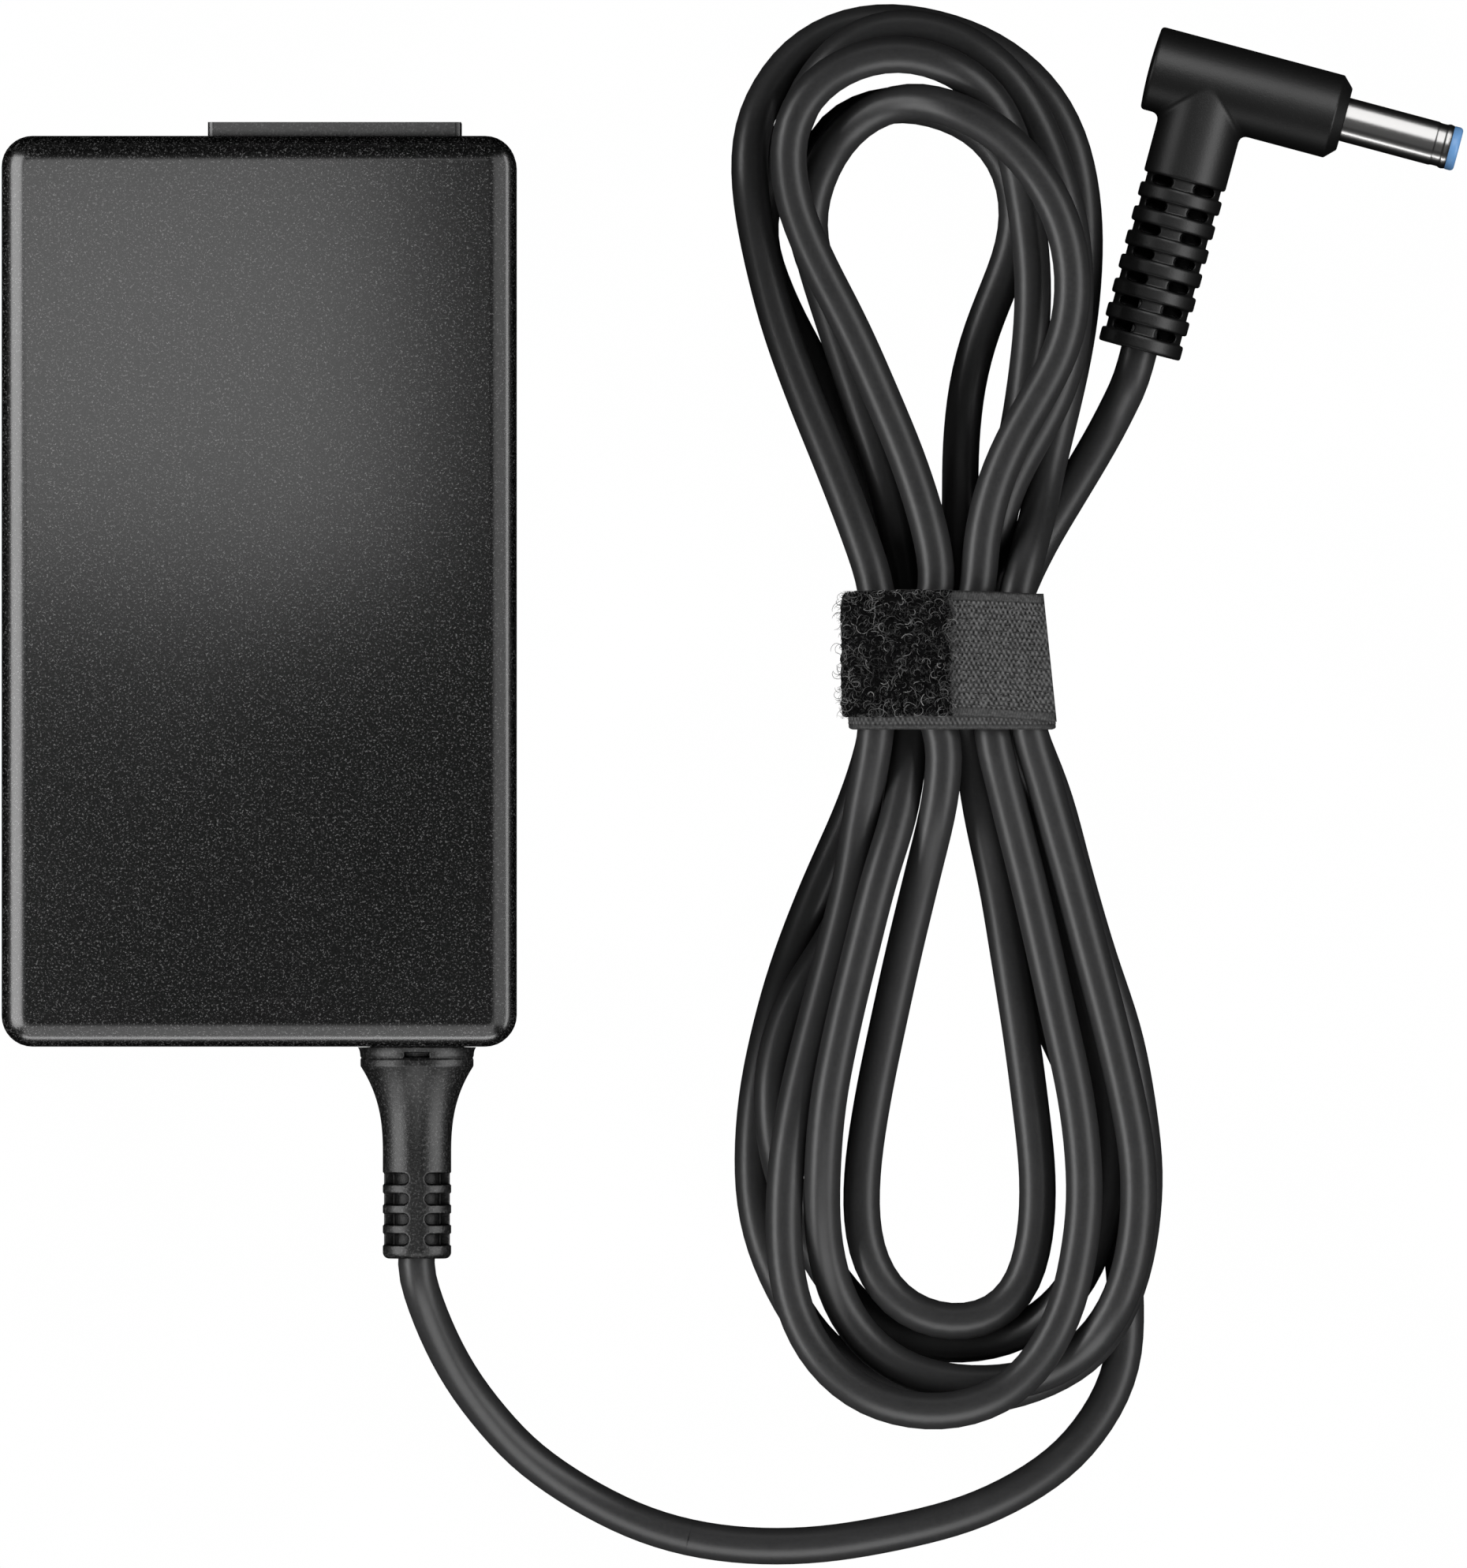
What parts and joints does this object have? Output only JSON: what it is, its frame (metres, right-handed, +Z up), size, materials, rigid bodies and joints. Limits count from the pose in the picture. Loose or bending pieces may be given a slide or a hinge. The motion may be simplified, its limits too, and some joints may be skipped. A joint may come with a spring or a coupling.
{
  "type": "laptop power adapter",
  "caption": "External power adapter for a portable computer: flat rounded brick with an inlet socket, strapped hank of cable and a right-angle barrel plug.",
  "frame": {"origin": "centre of the flat underside of the brick", "axes": "+Z up out of the table, +Y along the brick towards its mains inlet, +X from the brick towards the cable hank"},
  "size_m": [0.1474, 0.1572, 0.0285],
  "materials": {
    "aluminium_plate": "satin",
    "board_laminate": "solder-resist green",
    "bobbin_plastic": "natural moulding",
    "box_yellow": "moulded box",
    "cable_jacket": "satin jacket",
    "can_black": "shrink sleeve",
    "can_blue": "shrink sleeve",
    "case_plastic": "fine spark-eroded texture",
    "chip_black": "moulded epoxy",
    "chip_white": "moulded epoxy",
    "copper": "enamelled copper",
    "disc_black": "dipped epoxy",
    "disc_blue": "dipped epoxy",
    "ferrite": "sintered ferrite",
    "fuse_ceramic": "ceramic",
    "inlet_plastic": "satin black",
    "insulation_film": "translucent amber film",
    "mould_natural": "natural moulding",
    "nickel": "polished nickel plate",
    "pad_silicone": "soft matte",
    "plate_film": "satin blank film",
    "plug_rubber": "matte soft moulding",
    "relief_rubber": "matte soft moulding",
    "spring_brass": "spring sleeve",
    "strap_fleece": "brushed loop pile",
    "strap_hook": "woven hook tape",
    "strap_weave": "woven tape",
    "tape_yellow": "polyester tape",
    "tip_blue": "light blue insulator",
    "wire_black": "insulated wire",
    "wire_red": "insulated wire",
    "wire_white": "insulated wire"
  },
  "bodies": {
    "brick": {"case_bottom": "case_plastic", "case_top": "case_plastic", "rating_plate": "plate_film", "inlet_housing": "inlet_plastic", "inlet_pin_line": "nickel", "inlet_pin_neutral": "nickel", "inlet_pin_earth": "nickel", "circuit_board": "board_laminate", "insulation_sheet": "insulation_film", "shield_lower": "copper", "shield_upper": "aluminium_plate", "thermal_pad": "pad_silicone", "fuse": "fuse_ceramic", "varistor": "disc_blue", "inrush_thermistor": "disc_black", "x_capacitor": "box_yellow", "choke_core": "ferrite", "choke_winding_a": "copper", "choke_winding_b": "copper", "bridge_rectifier": "chip_black", "bulk_capacitor": "can_black", "primary_heatsink": "aluminium_plate", "switch_transistor": "chip_black", "transformer_core": "ferrite", "transformer_bobbin": "bobbin_plastic", "transformer_winding": "tape_yellow", "y_capacitor": "disc_blue", "optocoupler": "chip_white", "controller_chip": "chip_black", "secondary_heatsink": "aluminium_plate", "output_rectifier": "chip_black", "output_capacitor_a": "can_blue", "output_capacitor_b": "can_blue", "output_choke_core": "ferrite", "output_choke_winding": "copper", "wire_positive": "wire_red", "wire_negative": "wire_black", "wire_sense": "wire_white", "strain_relief": "relief_rubber", "cable_outlet": "cable_jacket"},
    "lead": {"cable_lead": "cable_jacket"},
    "hank": {"cable_coil": "cable_jacket", "strap_band": "strap_weave"},
    "flap": {"strap_flap": "strap_hook", "strap_pile": "strap_fleece"},
    "tail": {"cable_tail": "cable_jacket"},
    "plug": {"plug_overmould": "plug_rubber", "plug_cable_end": "cable_jacket", "plug_inner_mould": "mould_natural", "barrel_sleeve": "nickel", "barrel_insulator": "inlet_plastic", "barrel_tip_ring": "tip_blue", "inner_contact": "spring_brass", "centre_pin": "nickel", "terminal_outer": "nickel", "terminal_centre": "nickel"}
  },
  "joints": [
    {"name": "outlet_swing", "type": "hinge", "parent": "brick", "child": "lead", "pos_m": [0.01586, -0.06835, 0.01425], "axis": [0, 0, 1], "range_deg": [-50, 8]},
    {"name": "hank_swing", "type": "hinge", "parent": "lead", "child": "hank", "pos_m": [0.08736, -0.07329, 0.0023], "axis": [0, 0, 1], "range_deg": [-30, 0]},
    {"name": "tail_swing", "type": "hinge", "parent": "hank", "child": "tail", "pos_m": [0.08084, 0.00851, 0.0023], "axis": [0, 0, 1], "range_deg": [-60, 0]},
    {"name": "plug_lift", "type": "hinge", "parent": "tail", "child": "plug", "pos_m": [0.08823, 0.02252, 0.0047], "axis": [0.9659, -0.2588, 0], "range_deg": [0, 60]},
    {"name": "strap_peel", "type": "hinge", "parent": "hank", "child": "flap", "pos_m": [0.0794, -0.00643, 0.0148], "axis": [0, 1, 0], "range_deg": [0, 150]}
  ]
}
